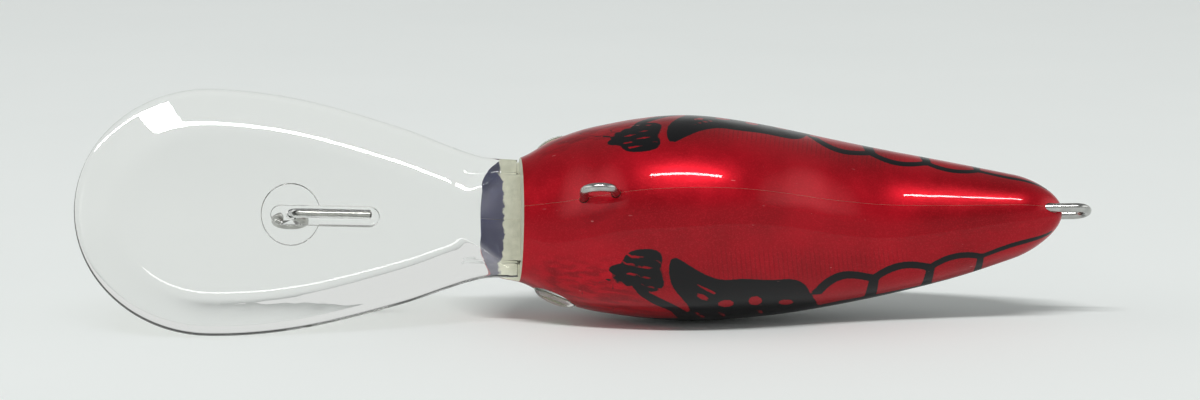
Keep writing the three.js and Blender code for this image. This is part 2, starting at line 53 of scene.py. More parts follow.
BODY_LENGTH = 70
HALF_WIDTH = [
    (0, 6.9), (5, 7.6), (9, 9.7), (14, 11.2), (24, 12.35), (33, 11.7), (43, 10.1), (56, 7.35), (65, 4.9),
    (70, 3.4),
]
BACK_HEIGHT = [
    (0, 5.6), (5, 7.8), (12, 10.8), (24, 12.9), (35, 12.4), (46, 10.6), (56, 8.4), (65, 5.4), (70, 3.2),
]
BELLY_DEPTH = [
    (0, 3), (5, 4.6), (10, 6.3), (14, 8.3), (19, 10.6), (25, 11.5), (31, 10.9), (36, 9), (42, 5.9), (48, 3.7),
    (54, 3), (60, 2.9), (66, 2.9), (70, 2.6),
]
WIDEST_LEVEL = [(0, 0.8), (14, 0.6), (25, 0.9), (37, 2.9), (46, 3.6), (56, 3.3), (63, 2.2), (70, 0.3)]
NOSE_ROUND, NOSE_BLUNTNESS = 3.5, 2.6
TAIL_ROUND, TAIL_BLUNTNESS = 6, 2.2
SHELL_WALL = 1.6
SEAM_HALF_GAP = 0.01
CAVITY_FRONT, CAVITY_BACK, CAVITY_ROUND, CAVITY_BLUNTNESS = 13.5, 66, 4, 2
CHIN_FRONT = 5
BODY_STATIONS, BODY_SIDES = 170, 160
CAVITY_STATIONS, CAVITY_SIDES = 40, 48
FAR = 100  # past every edge of the lure, for cutters

# Air round the pieces that are let into the body and the lip
FIT_AIR = 0.1
WIRE_AIR = 0.06
NOTCH_AIR = 0.05

NECK_X = 3
LIP_PITCH = math.radians(7)
LIP_LENGTH = 51
LIP_HALF_WIDTH = 15.3
LIP_WIDEST = 35
LIP_BACK_EDGE = 1.7
LIP_SIDE = [(-LIP_BACK_EDGE, 7.3), (3, 7.7), (12.6, 11.1), (24.6, 14.3), (35, 15.3), (45.4, 14.3)]
LIP_RIM = 1
LIP_RIM_BULGE = 0.35
LIP_CROWN_REACH = 6.4
LIP_SHOULDER = 4.4
LIP_SLOPE = 0.15
LIP_FACE = LIP_RIM / 2 + LIP_SLOPE * (LIP_SHOULDER + LIP_CROWN_REACH) / 2
LIP_OUTLINE_STEP, LIP_END_POINTS, LIP_BACK_POINTS, LIP_CROWN_STEPS, LIP_RIM_STEPS = 0.5, 97, 14, 18, 9
LIP_CROWN_START, LIP_MIDDLE_LEFT = 0.4, 0.4
TONGUE_HALF_WIDTH, TONGUE_THICKNESS, TONGUE_END = 5.5, 1.8, 10
TONGUE_START = -6.2
LIP_PIN_AT, LIP_PIN_RADIUS, LIP_PIN_LENGTH = 6.9, 1.3, 8

WIRE_RADIUS = 0.52
TIE_BOSS_AT, TIE_BOSS_LENGTH, TIE_BOSS_WIDTH, TIE_BOSS_HEIGHT = 25.4, 7.1, 7.7, 0.5
TIE_RIB_END, TIE_RIB_WIDTH, TIE_RIB_HEIGHT = 14.8, 2.4, 0.9
TIE_BOSS_ROUNDING, TIE_RIB_ROUNDING = 0.18, 0.12
TIE_EYE_RADIUS, TIE_SHANK_LEVEL, TIE_SHANK_COVER = 1.7, 0.5, 1.2
TIE_SHOULDER_TURN, TIE_EYE_END = math.radians(70), math.radians(228)

HANGER_LEG_SPACING, HANGER_FOOT = 3.75, 1.6
BELLY_HANGER_X, BELLY_HANGER_CREST, BELLY_HANGER_ROOT = 14.65, 12.6, 4.6
TAIL_HANGER_CREST, TAIL_HANGER_ROOT, TAIL_LEG_SPACING = 73.5, 61.5, 3.1
HANGER_BEND = 0.9
TIE_BEND = 1.2

TUBE_FRONT, TUBE_LENGTH, TUBE_LEVEL, TUBE_RADIUS = 19.5, 23, 4, 3.6
BALLAST_RADIUS, BALLAST, CRADLE_LEVEL = 4, [(25, -5.3), (33.6, -4.1)], -5.1
WEB_X, WEB_THICKNESS = (22, 39.6), 1.2
THROAT_BLOCK_FRONT, THROAT_BLOCK_PAST_WEIGHT, THROAT_BLOCK_HALF_WIDTH, THROAT_BLOCK_TOP = 10, 3.4, 4, 2.4
TAIL_BLOCK_BEFORE_ROOT, TAIL_BLOCK_HALF_WIDTH = 1.8, 2.6
DOWELS, DOWEL_RADIUS, DOWEL_REACH = [(20.2, 9), (48, 3.2), (56, 2)], 0.9, 1.5
DOWEL_ROOT = -2
DOWEL_BOSS_RADIUS = 2
THROAT_WEIGHT_X, THROAT_WEIGHT_LEVEL = 17.6, -1.3
THROAT_WEIGHT_RADIUS, THROAT_WEIGHT_LENGTH = 2.2, 14

EYE_X, EYE_LEVEL = 9, 2.2
EYE_TILT, EYE_TURN = math.radians(9), math.radians(22)
EYE_RADIUS, EYE_POCKET_DEPTH, EYE_SUNK, EYE_POCKET_REACH = 2.7, 1.6, 0.15, 6
IRIS_THICKNESS, EYE_DOME_HEIGHT, EYE_DOME_RIM, EYE_GAP = 0.4, 1.2, 0.2, 0.3
EYE_SIDES = 72

REST_ROLL = math.radians(26)
REST_TILT = math.radians(0.7)

PORT_STENCIL_SHIFT = 9  # degrees round the section

# ---------- colours, floor, light and camera ----------

CANDY_RED = (0.47, 0.002, 0.012)
CANDY_DEEP = (0.28, 0.001, 0.006)
MARKING_BLACK = (0.004, 0.004, 0.005)
FLOOR_COLOUR = (0.86, 0.888, 0.875)
FLOOR_COLOUR_2 = (0.848, 0.877, 0.864)
FLOOR_HALF_SIZE = 3.0  # metres

# The lamp: the direction it stands in, its distance and size in metres, and its power in watts
STRIP_TOWARDS, STRIP_DISTANCE, STRIP_SIZE, STRIP_POWER = (-0.05, -0.58, 0.99), 2.2, (1.47, 0.1), 30

# The camera: its lens in millimetres, its angle above the horizon, and its distance and target in metres
LENS, SENSOR_WIDTH = 110, 36
CAMERA_ELEVATION, CAMERA_DISTANCE, CAMERA_TARGET = math.radians(9), 0.44, (0.0017, 0, 0.0146)

# The room: its brightness, and the parts of a direction (across, up, back) between which it changes
ROOM_DIM, ROOM_BRIGHT, PAPER, PAPER_IN_FRONT = 0.27, 1.7, 0.76, 0.7
WALLS_BEGIN, WALLS_RISE = (0.58, 0.85), (0.2, 0.45)
PAPER_ENDS, PAPER_BEGINS = (0.2, 0.55), (0, 0.35)

# ---------- where the lure and its lip lie ----------


def placed(turn, point_in_turn, point_in_row):
    """The placement with this turn that brings a point, in millimetres, to a point of the row frame."""
    offset = point_in_row - turn @ (Vector(point_in_turn) * MM)
    return Matrix.Translation(offset) @ turn


def lure_place():
    """The lure's placement, measured on the throat weight, a rod across the lure."""
    turn = Matrix.Rotation(-REST_TILT, 4, "Y") @ Matrix.Rotation(-(math.pi / 2 + REST_ROLL), 4, "X")
    low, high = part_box("throat_weight")
    return placed(turn, (THROAT_WEIGHT_X, 0, THROAT_WEIGHT_LEVEL), (low + high) / 2)


LURE_PLACE = lure_place()
LIP_IN_LURE = Matrix.Translation((NECK_X * MM, 0, 0)) @ Matrix.Rotation(-LIP_PITCH, 4, "Y")
LIP_PLACE = LURE_PLACE @ LIP_IN_LURE

# ---------- curves and profiles ----------


def profile(points):
    """A smooth curve through (x, value) points, as a function of an array of x."""
    xs = np.array([p[0] for p in points], float)
    ys = np.array([p[1] for p in points], float)
    before = np.maximum(np.arange(len(xs)) - 1, 0)
    after = np.minimum(np.arange(len(xs)) + 1, len(xs) - 1)
    slopes = (ys[after] - ys[before]) / (xs[after] - xs[before])

    def at(x):
        x = np.asarray(x, float)
        i = np.clip(np.searchsorted(xs, x, side="right") - 1, 0, len(xs) - 2)
        span = xs[i + 1] - xs[i]
        t = (x - xs[i]) / span
        bend0, bend1 = slopes[i] * span, slopes[i + 1] * span
        a = 2 * ys[i] - 2 * ys[i + 1] + bend0 + bend1
        b = 3 * ys[i + 1] - 3 * ys[i] - 2 * bend0 - bend1
        return ys[i] + t * (bend0 + t * (b + t * a))

    return at


half_width_at = profile(HALF_WIDTH)
back_height_at = profile(BACK_HEIGHT)
belly_depth_at = profile(BELLY_DEPTH)
widest_level_at = profile(WIDEST_LEVEL)
lip_half_width_at = profile(LIP_SIDE)


def end_rounding(distance, length, bluntness):
    """From 0 at an end to 1 a rounding length away, along a superellipse."""
    t = np.clip(1 - distance / length, 0, 1)
    return (1 - t ** bluntness) ** (1 / bluntness)


def body_section(x):
    """Half width, widest level, rise above it and drop below it, at x."""
    cap = np.minimum(
        end_rounding(x, NOSE_ROUND, NOSE_BLUNTNESS), end_rounding(BODY_LENGTH - x, TAIL_ROUND, TAIL_BLUNTNESS)
    )
    level = widest_level_at(x)
    return half_width_at(x) * cap, level, (back_height_at(x) - level) * cap, (belly_depth_at(x) + level) * cap


class Path:
    """A flat path of lines and arcs, as points."""

    STEP = 0.12

    def __init__(self, x, z):
        self.points = [np.array([x, z], float)]

    def line(self, x, z):
        start, end = self.points[-1], np.array([x, z], float)
        count = max(1, int(np.linalg.norm(end - start) / self.STEP))
        self.points += [start + (end - start) * k / count for k in range(1, count + 1)]

    def arc(self, x, z, radius, start, end):
        """Runs on to the arc's start by a line, where it isn't there yet."""
        first = np.array([x + radius * math.cos(start), z + radius * math.sin(start)])
        if np.linalg.norm(first - self.points[-1]) > 1e-6:
            self.line(*first)
        count = max(6, int(abs(end - start) * radius / self.STEP))
        for k in range(1, count + 1):
            angle = start + (end - start) * k / count
            self.points.append(np.array([x + radius * math.cos(angle), z + radius * math.sin(angle)]))


# ---------- mesh making ----------


def new_object(name, vertices, faces, place):
    """A mesh object from vertices in millimetres, at a placement."""
    mesh = bpy.data.meshes.new(name)
    mesh.from_pydata([tuple(v) for v in np.asarray(vertices, float) * MM], [], faces)
    mesh.update()
    made = bpy.data.objects.new(name, mesh)
    made.matrix_world = place
    bpy.context.scene.collection.objects.link(made)
    return made


def mend_normals(made):
    """Turns every face of a closed mesh outwards."""
    bm = bmesh.new()
    bm.from_mesh(made.data)
    bmesh.ops.recalc_face_normals(bm, faces=bm.faces)
    bm.to_mesh(made.data)
    bm.free()


def smooth(made, angle=28):
    """Smooth shading, except at edges sharper than an angle in degrees."""
    made.data.shade_smooth()
    made.data.set_sharp_from_angle(angle=math.radians(angle))
    return made


def finished(made, material, replaced=(), body=BODY):
    """Gives a piece its materials and its body, and hides the CAD nodes it stands for."""
    made.data.materials.clear()
    for one in material if isinstance(material, list) else [material]:
        made.data.materials.append(one)
    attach(made, body)
    if replaced:
        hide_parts(*replaced)
    return made


def boolean(made, cutters, operation):
    """Cuts the cutters out of a piece, or joins them to it, and deletes them."""
    for cutter in cutters:
        mend_normals(cutter)
        step = made.modifiers.new("boolean", "BOOLEAN")
        step.operation = operation
        step.object = cutter
        step.solver = "MANIFOLD"
        bpy.context.view_layer.update()
        shape = bpy.data.meshes.new_from_object(made.evaluated_get(bpy.context.evaluated_depsgraph_get()))
        made.modifiers.clear()
        old, made.data = made.data, shape
        bpy.data.meshes.remove(old)
        bpy.data.objects.remove(cutter)
    return made


def wall_faces(sides, rings):
    """The faces between rings of vertices."""
    faces = []
    for ring in range(rings - 1):
        a, b = ring * sides, (ring + 1) * sides
        for j in range(sides):
            k = (j + 1) % sides
            faces.append((a + j, a + k, b + k, b + j))
    return faces


def tipped_faces(sides, rings):
    """The faces of a form that has a single vertex, then rings, then a single vertex."""
    last = 1 + rings * sides
    faces = []
    for j in range(sides):
        k = (j + 1) % sides
        faces.append((0, 1 + k, 1 + j))
        for ring in range(rings - 1):
            a, b = 1 + ring * sides, 1 + (ring + 1) * sides
            faces.append((a + j, a + k, b + k, b + j))
        faces.append((last, last - sides + j, last - sides + k))
    return faces


def tube(name, points, radius, place, sides=20):
    """A wire of round section along points (x, z) of the middle plane, with slightly rounded ends."""
    points = np.array(points)
    along = np.gradient(points, axis=0)
    along /= np.linalg.norm(along, axis=1)[:, None]
    ends = [(0, -0.25, 0.55), (0, -0.1, 0.85)]
    rings = [(points[i] + along[i] * shift * radius, along[i], size) for i, shift, size in ends]
    rings += [(points[i], along[i], 1) for i in range(len(points))]
    rings += [(points[-1] - along[-1] * shift * radius, along[-1], size) for _, shift, size in reversed(ends)]
    vertices = []
    for centre, direction, size in rings:
        for j in range(sides):
            angle = 2 * math.pi * j / sides
            out, across = radius * size * math.cos(angle), radius * size * math.sin(angle)
            vertices.append((centre[0] - direction[1] * out, across, centre[1] + direction[0] * out))
    faces = [tuple(range(sides))] + wall_faces(sides, len(rings))
    faces.append(tuple(range((len(rings) - 1) * sides, len(rings) * sides))[::-1])
    made = new_object(name, vertices, faces, place)
    mend_normals(made)
    return made


def lathe(name, outline, place, sides=64):
    """A solid turned about z from (radius, z) points that start and end on the axis."""
    vertices = [(0, 0, outline[0][1])]
    rings = outline[1:-1]
    for radius, z in rings:
        for j in range(sides):
            angle = 2 * math.pi * j / sides
            vertices.append((radius * math.cos(angle), radius * math.sin(angle), z))
    vertices.append((0, 0, outline[-1][1]))
    made = new_object(name, vertices, tipped_faces(sides, len(rings)), place)
    mend_normals(made)
    return made


def block(low, high, place=LURE_PLACE):
    x0, y0, z0 = low
    x1, y1, z1 = high
    vertices = [(x, y, z) for x in (x0, x1) for y in (y0, y1) for z in (z0, z1)]
    faces = [(0, 1, 3, 2), (4, 6, 7, 5), (0, 4, 5, 1), (2, 3, 7, 6), (0, 2, 6, 4), (1, 5, 7, 3)]
    return new_object("block", vertices, faces, place)


def rod(radius, start, end, direction, place=LURE_PLACE):
    """A plain rod from start to end along x, y or z, given its other two coordinates in start."""
    length = end - start[direction]
    turn = {0: Matrix.Rotation(math.pi / 2, 4, "Y"), 1: Matrix.Rotation(-math.pi / 2, 4, "X"), 2: Matrix()}
    at = place @ Matrix.Translation(Vector(start) * MM) @ turn[direction]
    return lathe("rod", [(0, 0), (radius, 0), (radius, length), (0, length)], at)


def ball(radius, centre, place=LURE_PLACE):
    steps = 24
    turns = [math.pi * k / steps for k in range(steps + 1)]
    outline = [(radius * math.sin(turn), -radius * math.cos(turn)) for turn in turns]
    return lathe("ball", outline, place @ Matrix.Translation(Vector(centre) * MM), 48)


def body_loft(name, front, back, inset, ends, stations, sides):
    """A closed loft, inset from the body's profiles. ends holds each end's rounding and bluntness."""
    nose_round, nose_bluntness, tail_round, tail_bluntness = ends
    x = front + (back - front) * (1 - np.cos(np.pi * np.arange(1, stations) / stations)) / 2
    nose_cap = end_rounding(x - front, nose_round, nose_bluntness)
    tail_cap = end_rounding(back - x, tail_round, tail_bluntness)
    cap = np.minimum(nose_cap, tail_cap)[:, None]
    level = widest_level_at(x)[:, None]
    angle = 2 * np.pi * np.arange(sides)[None, :] / sides
    rise = (back_height_at(x)[:, None] - level - inset) * cap
    drop = (belly_depth_at(x)[:, None] + level - inset) * cap
    y = (half_width_at(x)[:, None] - inset) * cap * np.cos(angle)
    z = level + np.where(np.sin(angle) > 0, rise, drop) * np.sin(angle)
    rings = np.stack([np.repeat(x[:, None], sides, axis=1), y, z], axis=2).reshape(-1, 3)
    first_tip, last_tip = [(end, 0, float(widest_level_at(end))) for end in (front, back)]
    vertices = [first_tip] + rings.tolist() + [last_tip]
    made = new_object(name, vertices, tipped_faces(sides, stations - 1), LURE_PLACE)
    mend_normals(made)
    return made


# ---------- wires ----------


def line_tie_path(clearance):
    """A shank in the lip, a stem up through the boss, and an eye with a shouldered neck."""
    stem_x, turn = -TIE_BOSS_AT, TIE_SHOULDER_TURN
    shoulder_radius = TIE_EYE_RADIUS * math.cos(turn) / (1 - math.cos(turn))
    shoulder_level = LIP_FACE + TIE_BOSS_HEIGHT
    eye_level = shoulder_level + (TIE_EYE_RADIUS + shoulder_radius) * math.sin(turn)
    path = Path(-TIE_RIB_END - TIE_SHANK_COVER + clearance, TIE_SHANK_LEVEL)
    path.arc(stem_x + TIE_BEND, TIE_SHANK_LEVEL + TIE_BEND, TIE_BEND, -math.pi / 2, -math.pi)
    path.arc(stem_x + shoulder_radius, shoulder_level, shoulder_radius, math.pi, math.pi - turn)
    path.arc(stem_x, eye_level, TIE_EYE_RADIUS, -turn, TIE_EYE_END)
    return path.points


def hanger_path(leg_spacing, depth, foot, second_foot):
    """A U of wire, its crest at x = 0 and its legs towards -x, with feet turned outwards."""
    half, root = leg_spacing / 2, -depth + HANGER_BEND
    path = Path(-depth, half + HANGER_BEND + foot)
    path.arc(root, half + HANGER_BEND, HANGER_BEND, math.pi, 1.5 * math.pi)
    path.arc(-half, 0, half, math.pi / 2, -math.pi / 2)
    path.line(root, -half)
    if second_foot > 0:
        path.arc(root, -half - HANGER_BEND, HANGER_BEND, math.pi / 2, math.pi)
        path.line(-depth, -half - HANGER_BEND - second_foot)
    return path.points


def belly_hanger(name, clearance):
    depth = BELLY_HANGER_CREST - BELLY_HANGER_ROOT - WIRE_RADIUS
    foot = HANGER_FOOT + clearance
    turned = [
        (BELLY_HANGER_X + z, -x - BELLY_HANGER_CREST + WIRE_RADIUS)
        for x, z in hanger_path(HANGER_LEG_SPACING, depth, foot, foot)
    ]
    return tube(name, turned, WIRE_RADIUS + clearance, LURE_PLACE)


def tail_hanger(name, clearance):
    depth = TAIL_HANGER_CREST - TAIL_HANGER_ROOT - WIRE_RADIUS
    path = hanger_path(TAIL_LEG_SPACING, depth, HANGER_FOOT + clearance, 0)
    moved = [(x + TAIL_HANGER_CREST - WIRE_RADIUS, z) for x, z in path]
    return tube(name, moved, WIRE_RADIUS + clearance, LURE_PLACE)


def line_tie(name, clearance):
    return tube(name, line_tie_path(clearance), WIRE_RADIUS + clearance, LIP_PLACE)


# ---------- the lip ----------


def lip_outline():
    """The lip seen square on, as (x, y) points round its edge: back edge, swept sides and a rounded end."""
    along = np.linspace(-LIP_BACK_EDGE, LIP_WIDEST, int((LIP_WIDEST + LIP_BACK_EDGE) / LIP_OUTLINE_STEP))
    side = [(-a, float(w)) for a, w in zip(along, lip_half_width_at(along))]
    turns = np.linspace(math.pi / 2, 1.5 * math.pi, LIP_END_POINTS)[1:-1]
    end = [
        (-LIP_WIDEST + (LIP_LENGTH - LIP_WIDEST) * math.cos(t), LIP_HALF_WIDTH * math.sin(t))
        for t in turns
    ]
    other = [(x, -y) for x, y in reversed(side)]
    across = np.linspace(-side[0][1], side[0][1], LIP_BACK_POINTS)[1:-1]
    back = [(side[0][0], float(y)) for y in across]
    return np.array(side + end + other + back)


def lip_height(inset):
    """The height of the lip's face at a distance in from its edge: an even slope, then a shoulder."""
    past = max(0, inset - LIP_SHOULDER)
    eased = past * past / (2 * (LIP_CROWN_REACH - LIP_SHOULDER))
    return LIP_RIM / 2 + LIP_SLOPE * (inset - eased)


def lip_plate():
    """The lip's plate: a rounded rim, sloping on both faces up to a flat middle. Where the lip is narrow,
    the slopes are drawn together so that they stop short of the middle line."""
    outline = lip_outline()
    count = len(outline)
    middle = np.stack([np.clip(outline[:, 0], -LIP_WIDEST, -LIP_CROWN_REACH), np.zeros(count)], axis=1)
    inward = middle - outline
    room = np.linalg.norm(inward, axis=1)[:, None]
    inward *= np.minimum(1, (room - LIP_MIDDLE_LEFT) / LIP_CROWN_REACH) / room
    insets = np.linspace(LIP_CROWN_REACH, LIP_RIM_BULGE + LIP_CROWN_START, LIP_CROWN_STEPS)
    steps = [(inset, lip_height(inset)) for inset in insets]
    half = [(inset, -height) for inset, height in steps]
    rim_turns = np.linspace(-math.pi / 2, math.pi / 2, LIP_RIM_STEPS)
    rim = [(LIP_RIM_BULGE * (1 - math.cos(a)), LIP_RIM / 2 * math.sin(a)) for a in rim_turns]
    layers = half + rim + [(inset, height) for inset, height in reversed(steps)]
    vertices = []
    for inset, height in layers:
        moved = outline + inward * inset
        vertices += [(x, y, height) for x, y in moved]
    faces = wall_faces(count, len(layers))
    faces.append(tuple(range(count))[::-1])
    faces.append(tuple((len(layers) - 1) * count + i for i in range(count)))
    made = new_object("plate", vertices, faces, LIP_PLACE)
    mend_normals(made)
    return made


def prism(outline, low, high, place, rounding):
    """A prism of an (x, y) outline about its middle, its top edge eased inwards by the rounding."""
    outline = np.array(outline)
    middle = outline.mean(axis=0)
    count = len(outline)
    layers = [(0, low), (0, high - rounding)]
    for a in np.linspace(0, math.pi / 2, 7)[1:]:
        layers.append((rounding * (1 - math.cos(a)), high - rounding + rounding * math.sin(a)))
    vertices = []
    for inset, height in layers:
        away = outline - middle
        size = np.linalg.norm(away, axis=1)[:, None]
        moved = middle + away * (size - inset) / size
        vertices += [(x, y, height) for x, y in moved]
    faces = [tuple(range(count))[::-1], tuple((len(layers) - 1) * count + i for i in range(count))]
    made = new_object("prism", vertices, faces + wall_faces(count, len(layers)), place)
    mend_normals(made)
    return made


def tie_boss():
    turns = np.linspace(0, 2 * math.pi, 73)[:-1]
    outline = [
        (-TIE_BOSS_AT + TIE_BOSS_LENGTH / 2 * math.cos(t), TIE_BOSS_WIDTH / 2 * math.sin(t)) for t in turns
    ]
    return prism(outline, 0, LIP_FACE + TIE_BOSS_HEIGHT, LIP_PLACE, TIE_BOSS_ROUNDING)


def tie_rib():
    half = TIE_RIB_WIDTH / 2
    front = [
        (-TIE_BOSS_AT - half + half * math.cos(t), half * math.sin(t))
        for t in np.linspace(math.pi / 2, 1.5 * math.pi, 17)
    ]
    back = [
        (-TIE_RIB_END - half + half * math.cos(t), half * math.sin(t))
        for t in np.linspace(-math.pi / 2, math.pi / 2, 17)
    ]
    return prism(front + back, 0, LIP_FACE + TIE_RIB_HEIGHT, LIP_PLACE, TIE_RIB_ROUNDING)


def lip_pin_hole(clearance):
    radius = LIP_PIN_RADIUS + clearance
    half = LIP_PIN_LENGTH / 2 + clearance
    return rod(radius, (LIP_PIN_AT, 0, -half), half, 2, LIP_PLACE)


def diving_lip(material):
    made = lip_plate()
    made.name = "clear_diving_lip"
    tongue = block(
        (TONGUE_START, -TONGUE_HALF_WIDTH, -TONGUE_THICKNESS / 2),
        (TONGUE_END, TONGUE_HALF_WIDTH, TONGUE_THICKNESS / 2),
        LIP_PLACE,
    )
    boolean(made, [tongue, tie_boss(), tie_rib()], "UNION")
    boolean(made, [lip_pin_hole(FIT_AIR), line_tie("channel", WIRE_AIR)], "DIFFERENCE")
    return finished(smooth(made, 32), material, ["diving_lip"])


# ---------- eyes ----------


def eye_place(side):
    """The eye's frame: its z leaves the flank, leaning towards the back and towards the nose."""
    out = Vector((
        -math.sin(EYE_TURN),
        side * math.cos(EYE_TURN) * math.cos(EYE_TILT),
        math.cos(EYE_TURN) * math.sin(EYE_TILT),
    )).normalized()
    surface = Vector((EYE_X, side * (float(half_width_at(EYE_X)) - EYE_SUNK), EYE_LEVEL))
    floor = (surface - out * EYE_POCKET_DEPTH) * MM
    turn = Vector((0, 0, 1)).rotation_difference(out).to_matrix().to_4x4()
    return LURE_PLACE @ Matrix.Translation(floor) @ turn


def eye_pocket(side):
    radius, top = EYE_RADIUS + FIT_AIR, EYE_POCKET_REACH
    return lathe("pocket", [(0, 0), (radius, 0), (radius, top), (0, top)], eye_place(side), EYE_SIDES)


def eye_pieces(side, side_name, foil, lens):
    place = eye_place(side)
    base = EYE_GAP
    top = base + IRIS_THICKNESS
    disc = lathe(
        f"eye_foil_{side_name}",
        [(0, base), (EYE_RADIUS - 0.05, base), (EYE_RADIUS, base + 0.08), (EYE_RADIUS, top - 0.08),
         (EYE_RADIUS - 0.05, top), (0, top)],
        place, EYE_SIDES,
    )
    finished(smooth(disc), foil, [f"eye_iris_{side_name}"])
    bottom = top + EYE_GAP
    arcs = 18
    dome = [(0, bottom), (EYE_RADIUS - 0.05, bottom), (EYE_RADIUS, bottom + 0.05)]
    for k in range(arcs + 1):
        turn = math.pi / 2 * k / arcs
        height = EYE_DOME_RIM + (EYE_DOME_HEIGHT - EYE_DOME_RIM) * math.sin(turn)
        dome.append((EYE_RADIUS * math.cos(turn), bottom + height))
    dome[-1] = (0, dome[-1][1])
    made = lathe(f"eye_lens_{side_name}", dome, place, EYE_SIDES)
    finished(smooth(made), lens, [f"eye_dome_{side_name}"])


# ---------- the body ----------


def lip_slot():
    """The cutters that seat the lip: a slot for its tongue, the notch under the snout, and the pin hole."""
    half_width, half_thickness = TONGUE_HALF_WIDTH + FIT_AIR, TONGUE_THICKNESS / 2 + FIT_AIR
    slot = block(
        (TONGUE_START, -half_width, -half_thickness),
        (TONGUE_END + FIT_AIR, half_width, half_thickness), LIP_PLACE,
    )
    notch = block((-FAR, -FAR, -FAR), (CHIN_FRONT - NECK_X, FAR, LIP_FACE + NOTCH_AIR), LIP_PLACE)
    return [slot, notch, lip_pin_hole(FIT_AIR)]


def body_cavity():
    """The hollow of the body, less all that stands inside it: webs, cradle, blocks and dowel bosses."""
    made = body_loft(
        "cavity", CAVITY_FRONT, CAVITY_BACK, SHELL_WALL, (CAVITY_ROUND, CAVITY_BLUNTNESS) * 2,
        CAVITY_STATIONS, CAVITY_SIDES,
    )
    webs = [block((x, -FAR, -FAR), (x + WEB_THICKNESS, FAR, FAR)) for x in WEB_X]
    cradle = block((WEB_X[0], -FAR, -FAR), (WEB_X[1] + WEB_THICKNESS, FAR, CRADLE_LEVEL))
    throat = block(
        (THROAT_BLOCK_FRONT, -THROAT_BLOCK_HALF_WIDTH, -FAR),
        (THROAT_WEIGHT_X + THROAT_BLOCK_PAST_WEIGHT, THROAT_BLOCK_HALF_WIDTH, THROAT_BLOCK_TOP),
    )
    tail = block(
        (TAIL_HANGER_ROOT - TAIL_BLOCK_BEFORE_ROOT, -TAIL_BLOCK_HALF_WIDTH, -FAR),
        (BODY_LENGTH, TAIL_BLOCK_HALF_WIDTH, FAR),
    )
    bosses = [rod(DOWEL_BOSS_RADIUS, (x, -FAR, z), 2 * FAR, 1) for x, z in DOWELS]
    return boolean(made, webs + [cradle, throat, tail] + bosses, "DIFFERENCE")


def body_solid():
    made = body_loft(
        "body", 0, BODY_LENGTH, 0, (NOSE_ROUND, NOSE_BLUNTNESS, TAIL_ROUND, TAIL_BLUNTNESS),
        BODY_STATIONS, BODY_SIDES,
    )
    cuts = [
        body_cavity(), *lip_slot(), eye_pocket(1), eye_pocket(-1),
        belly_hanger("channel", WIRE_AIR), tail_hanger("channel", WIRE_AIR),
        rod(
            TUBE_RADIUS + FIT_AIR, (TUBE_FRONT - FIT_AIR, 0, TUBE_LEVEL),
            TUBE_FRONT + TUBE_LENGTH + FIT_AIR, 0,
        ),
        rod(
            THROAT_WEIGHT_RADIUS + FIT_AIR,
            (THROAT_WEIGHT_X, -THROAT_WEIGHT_LENGTH / 2 - FIT_AIR, THROAT_WEIGHT_LEVEL),
            THROAT_WEIGHT_LENGTH / 2 + FIT_AIR, 1,
        ),
        *[ball(BALLAST_RADIUS + FIT_AIR, (x, 0, level)) for x, level in BALLAST],
    ]
    return boolean(made, cuts, "DIFFERENCE")


def copied(made, name):
    copy = made.copy()
    copy.data = made.data.copy()
    copy.name = name
    bpy.context.scene.collection.objects.link(copy)
    return copy


# ---------- the painted marking, laid out as it is seen on one flank ----------
# x runs along the lure. The other measure is the angle round the section from the keel, in degrees: 90 at
# the widest level and 180 at the back. Both become millimetres on the surface before distances are taken.


def flank_points(points):
    """(x, angle round) to millimetres along and round the surface."""
    return np.array([(x, math.radians(w) * float(half_width_at(x))) for x, w in points])


def distance_to_segment(p, a, b):
    along = b - a
    t = np.clip(((p - a) @ along) / (along @ along), 0, 1)
    return np.linalg.norm(p - (a + t[:, None] * along), axis=1)


def inside_polygon(p, corners):
    """Signed distance to a closed shape, below zero inside it."""
    away = np.full(len(p), 1e9)
    inside = np.zeros(len(p), bool)
    for i in range(len(corners)):
        a, b = corners[i - 1], corners[i]
        away = np.minimum(away, distance_to_segment(p, a, b))
        crosses = (a[1] > p[:, 1]) != (b[1] > p[:, 1])
        with np.errstate(divide="ignore", invalid="ignore"):
            at = (b[0] - a[0]) * (p[:, 1] - a[1]) / (b[1] - a[1]) + a[0]
        inside ^= crosses & (p[:, 0] < at)
    return np.where(inside, -away, away)


def rounded(points):
    """A closed outline with its corners cut and rounded."""
    points = np.array(points, float)
    for _ in range(2):
        after = np.roll(points, -1, axis=0)
        points = np.stack([points * 0.75 + after * 0.25, points * 0.25 + after * 0.75], axis=1).reshape(-1, 2)
    return points


def shape(p, points):
    """Signed distance to a closed outline with rounded corners."""
    return inside_polygon(p, rounded(flank_points(points)))


def stroke(p, points, widths):
    """Signed distance to a line whose half width runs through the given values."""
    line = flank_points(points)
    away = np.full(len(p), 1e9)
    for i in range(len(line) - 1):
        a, b = line[i], line[i + 1]
        along = b - a
        t = np.clip(((p - a) @ along) / (along @ along), 0, 1)
        width = widths[i] + (widths[i + 1] - widths[i]) * t
        away = np.minimum(away, np.linalg.norm(p - (a + t[:, None] * along), axis=1) - width)
    return away


def spot(p, x, w, length, height, tilt=0):
    centre = flank_points([(x, w)])[0]
    turn = math.radians(tilt)
    q = p - centre
    u = q[:, 0] * math.cos(turn) + q[:, 1] * math.sin(turn)
    v = -q[:, 0] * math.sin(turn) + q[:, 1] * math.cos(turn)
    size = np.sqrt((u / length) ** 2 + (v / height) ** 2)
    return (size - 1) * min(length, height)


